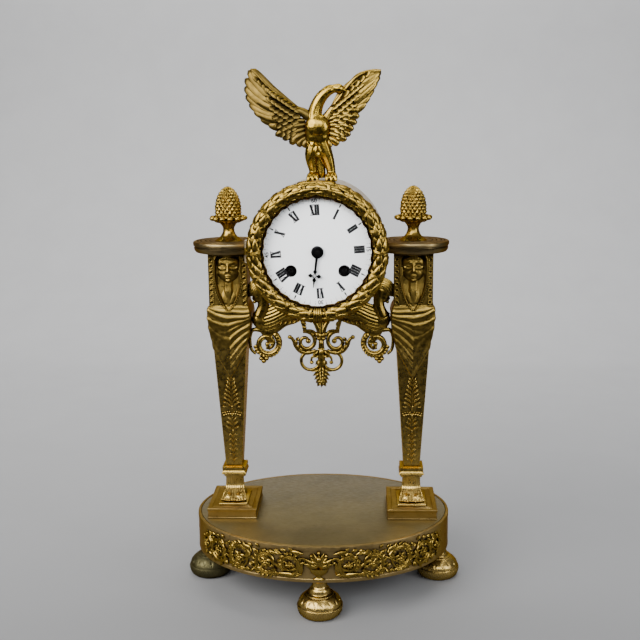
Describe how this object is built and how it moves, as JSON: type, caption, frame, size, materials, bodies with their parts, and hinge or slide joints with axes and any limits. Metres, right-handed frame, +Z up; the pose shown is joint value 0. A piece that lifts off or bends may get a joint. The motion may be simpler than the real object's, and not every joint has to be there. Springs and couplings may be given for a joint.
{
  "type": "portico clock",
  "caption": "Gilt bronze portico clock: an oval base with bun feet, herm columns, a hanging drum with enamel dial and laurel bezel, and an eagle on top.",
  "frame": {"origin": "on the ground, at the middle of the four feet", "axes": "+X to the right as the dial is read, +Y to the back, +Z up"},
  "size_m": [0.2298, 0.1788, 0.42],
  "materials": {
    "gilt_cast": "chased and fire-gilt cast bronze, bright on the high places and dark brown in the hollows",
    "gilt_smooth": "smooth gilt bronze with fine brush lines, softly worn at the edges",
    "gilt_matt": "matt, slightly stained gilt plate",
    "drum_brass": "pale brushed brass",
    "movement_brass": "polished clockmaker's brass",
    "steel": "turned and polished steel",
    "black_steel": "blackened steel",
    "bell_metal": "turned pale bell metal",
    "enamel": "glossy bluish-white vitreous enamel with black numerals",
    "glass": "clear polished glass"
  },
  "bodies": {
    "case": {"foot_front": "gilt_cast", "foot_back": "gilt_cast", "foot_left": "gilt_cast", "foot_right": "gilt_cast", "base_rim": "gilt_smooth", "base_top_plate": "gilt_matt", "frieze_mount_left": "gilt_cast", "frieze_mount_right": "gilt_cast", "frieze_urn": "gilt_cast", "plinth_left": "gilt_smooth", "plinth_right": "gilt_smooth", "herm_feet_left": "gilt_cast", "herm_feet_right": "gilt_cast", "herm_shaft_left": "gilt_cast", "herm_shaft_right": "gilt_cast", "herm_bust_left": "gilt_cast", "herm_bust_right": "gilt_cast", "abacus_disc_left": "gilt_smooth", "abacus_disc_right": "gilt_smooth", "pine_cone_left": "gilt_cast", "pine_cone_right": "gilt_cast", "tie_rod_left": "steel", "tie_rod_right": "steel", "rod_nut_left": "movement_brass", "rod_nut_right": "movement_brass", "drum_bolt_left": "steel", "drum_bolt_right": "steel", "griffin_bracket_left": "gilt_cast", "griffin_bracket_right": "gilt_cast", "pendant_scroll": "gilt_cast", "drum_case": "drum_brass", "bezel_hinge_pin": "steel", "door_hinge_pin": "steel", "dial": "enamel", "front_plate": "movement_brass", "back_plate": "movement_brass", "suspension_cock": "movement_brass", "bell": "bell_metal", "bell_stand": "steel", "eagle_body": "gilt_cast", "eagle_nut": "movement_brass", "eagle_wing_left": "gilt_cast", "eagle_wing_right": "gilt_cast"},
    "bezel": {"bezel_wreath": "gilt_cast", "bezel_glass": "glass"},
    "rear_door": {"back_door": "drum_brass"},
    "minute_drive": {"minute_arbor": "steel"},
    "motion_wheel": {"minute_wheel": "movement_brass"},
    "hour_drive": {"hour_wheel": "movement_brass", "hour_hand": "black_steel"},
    "intermediate_wheel": {"second_wheel": "movement_brass"},
    "going_drum": {"going_barrel": "movement_brass"},
    "upper_wheel": {"third_wheel": "movement_brass"},
    "escape": {"escape_wheel": "movement_brass"},
    "anchor": {"pallet_anchor": "steel"},
    "strike_drum": {"strike_barrel": "movement_brass"},
    "locking_wheel": {"count_wheel": "movement_brass"},
    "going_key_arbor": {"going_winding_arbor": "steel"},
    "strike_key_arbor": {"strike_winding_arbor": "steel"},
    "hammer": {"strike_hammer": "steel"}
  },
  "joints": [
    {"name": "minute_turn", "type": "hinge", "parent": "case", "child": "minute_drive", "pos_m": [0, 0, 0.2835], "axis": [0, 1, 0], "continuous": true},
    {"name": "motion_turn", "type": "hinge", "parent": "case", "child": "motion_wheel", "pos_m": [-0.00941, -0.0475, 0.29291], "axis": [0, 1, 0], "continuous": true},
    {"name": "hour_turn", "type": "hinge", "parent": "case", "child": "hour_drive", "pos_m": [0, -0.05, 0.2835], "axis": [0, 1, 0], "continuous": true},
    {"name": "intermediate_turn", "type": "hinge", "parent": "case", "child": "intermediate_wheel", "pos_m": [0.0119, 0, 0.28734], "axis": [0, 1, 0], "continuous": true},
    {"name": "going_drum_turn", "type": "hinge", "parent": "case", "child": "going_drum", "pos_m": [0.0201, 0, 0.2691], "axis": [0, 1, 0], "continuous": true},
    {"name": "upper_turn", "type": "hinge", "parent": "case", "child": "upper_wheel", "pos_m": [-0.00499, 0, 0.29561], "axis": [0, 1, 0], "continuous": true},
    {"name": "escape_turn", "type": "hinge", "parent": "case", "child": "escape", "pos_m": [0, 0, 0.30473], "axis": [0, 1, 0], "continuous": true},
    {"name": "anchor_rock", "type": "hinge", "parent": "case", "child": "anchor", "pos_m": [0, 0, 0.31613], "axis": [0, 1, 0], "range_deg": [-4, 4]},
    {"name": "strike_drum_turn", "type": "hinge", "parent": "case", "child": "strike_drum", "pos_m": [-0.0201, 0, 0.2691], "axis": [0, 1, 0], "continuous": true},
    {"name": "locking_turn", "type": "hinge", "parent": "case", "child": "locking_wheel", "pos_m": [-0.0119, 0, 0.28734], "axis": [0, 1, 0], "continuous": true},
    {"name": "going_winding", "type": "hinge", "parent": "case", "child": "going_key_arbor", "pos_m": [0.0201, 0, 0.2691], "axis": [0, 1, 0], "range_deg": [0, 2160]},
    {"name": "strike_winding", "type": "hinge", "parent": "case", "child": "strike_key_arbor", "pos_m": [-0.0201, 0, 0.2691], "axis": [0, 1, 0], "range_deg": [0, 2160]},
    {"name": "hammer_lift", "type": "hinge", "parent": "case", "child": "hammer", "pos_m": [-0.035, 0, 0.2855], "axis": [0, -1, 0], "range_deg": [0, 14]},
    {"name": "bezel_hinge", "type": "hinge", "parent": "case", "child": "bezel", "pos_m": [-0.0537, -0.0488, 0.2835], "axis": [0, 0, -1], "range_deg": [0, 110]},
    {"name": "door_hinge", "type": "hinge", "parent": "case", "child": "rear_door", "pos_m": [-0.0537, 0.026, 0.2835], "axis": [0, 0, 1], "range_deg": [0, 110]}
  ],
  "couplings": [
    {"joint": "motion_turn", "follows": "minute_turn", "ratio": -0.33333},
    {"joint": "hour_turn", "follows": "minute_turn", "ratio": 0.083333},
    {"joint": "intermediate_turn", "follows": "minute_turn", "ratio": -0.22222},
    {"joint": "going_drum_turn", "follows": "minute_turn", "ratio": 0.031746},
    {"joint": "upper_turn", "follows": "minute_turn", "ratio": -5},
    {"joint": "escape_turn", "follows": "minute_turn", "ratio": 20},
    {"joint": "locking_turn", "follows": "strike_drum_turn", "ratio": -7}
  ]
}
